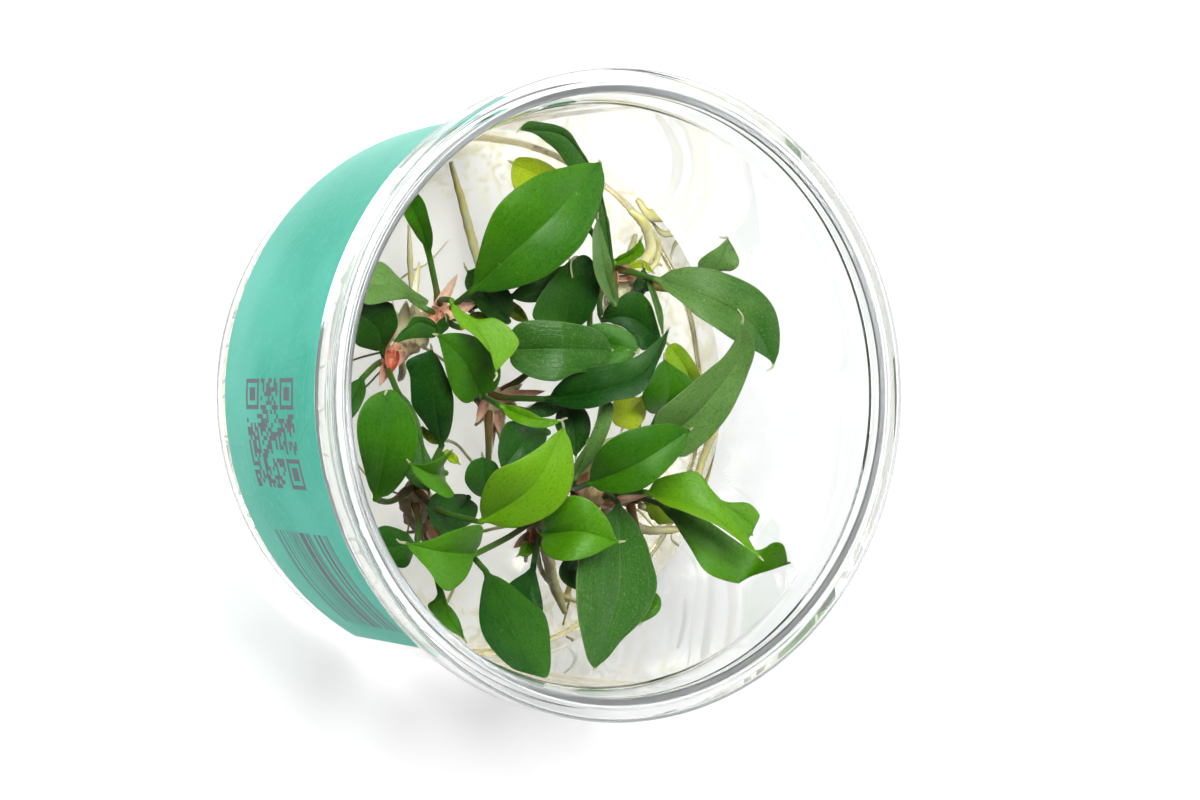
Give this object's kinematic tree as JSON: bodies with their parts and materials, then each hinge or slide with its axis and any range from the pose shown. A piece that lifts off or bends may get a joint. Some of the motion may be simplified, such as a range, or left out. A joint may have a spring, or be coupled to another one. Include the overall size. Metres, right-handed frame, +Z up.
{
  "type": "tissue culture tub with piptospatha plantlets",
  "caption": "Round clear tissue culture tub with a press-on clear lid and a green label strip, holding a gel layer and a dense clump of small glossy-leaved aroid plantlets.",
  "frame": {"origin": "centre of the underside of the tub's base, on the table", "axes": "+Z up through the lid, the tub's round axis; the label strip faces -Y; +X is a quarter turn from the label's middle"},
  "size_m": [0.1, 0.1, 0.0602],
  "materials": {
    "clear_tub": "clear, smooth, thin moulded wall",
    "clear_lid": "clear, smooth, thin moulded lid",
    "label": "mint-green film with fine wrinkles, satin",
    "gel": "clear pale yellow gel",
    "crown": "brown-red rhizome with pink-red sheaths and pale yellow roots",
    "leaf_dark": "glossy fine-grained leaf",
    "leaf_mid": "glossy fine-grained leaf",
    "leaf_light": "glossy fine-grained leaf",
    "leaf_yellow": "glossy fine-grained leaf",
    "leaf_grey": "glossy fine-grained leaf"
  },
  "bodies": {
    "root": {"tub": "clear_tub", "lid": "clear_lid", "label": "label", "gel": "gel", "crown_a": "crown", "crown_b": "crown", "crown_c": "crown", "crown_d": "crown", "crown_e": "crown", "crown_f": "crown", "leaf_01": "leaf_mid", "leaf_02": "leaf_dark", "leaf_03": "leaf_yellow", "leaf_04": "leaf_dark", "leaf_05": "leaf_grey", "leaf_06": "leaf_dark", "leaf_07": "leaf_dark", "leaf_08": "leaf_yellow", "leaf_09": "leaf_dark", "leaf_10": "leaf_dark", "leaf_11": "leaf_mid", "leaf_13": "leaf_grey", "leaf_14": "leaf_light", "leaf_15": "leaf_dark", "leaf_16": "leaf_dark", "leaf_17": "leaf_dark", "leaf_18": "leaf_light", "leaf_19": "leaf_dark", "leaf_20": "leaf_mid", "leaf_21": "leaf_dark", "leaf_22": "leaf_mid", "leaf_23": "leaf_yellow", "leaf_24": "leaf_mid", "leaf_25": "leaf_mid", "leaf_26": "leaf_grey", "leaf_27": "leaf_light", "leaf_28": "leaf_dark", "leaf_30": "leaf_mid", "leaf_31": "leaf_light", "leaf_32": "leaf_dark", "leaf_33": "leaf_light", "leaf_34": "leaf_dark", "leaf_35": "leaf_grey", "leaf_36": "leaf_yellow", "leaf_37": "leaf_light", "leaf_38": "leaf_mid", "leaf_39": "leaf_mid", "leaf_40": "leaf_light", "leaf_41": "leaf_dark", "leaf_42": "leaf_light", "leaf_43": "leaf_dark", "leaf_44": "leaf_dark", "leaf_45": "leaf_mid", "leaf_46": "leaf_dark", "leaf_47": "leaf_dark", "leaf_48": "leaf_grey", "leaf_50": "leaf_yellow"}
  },
  "joints": []
}
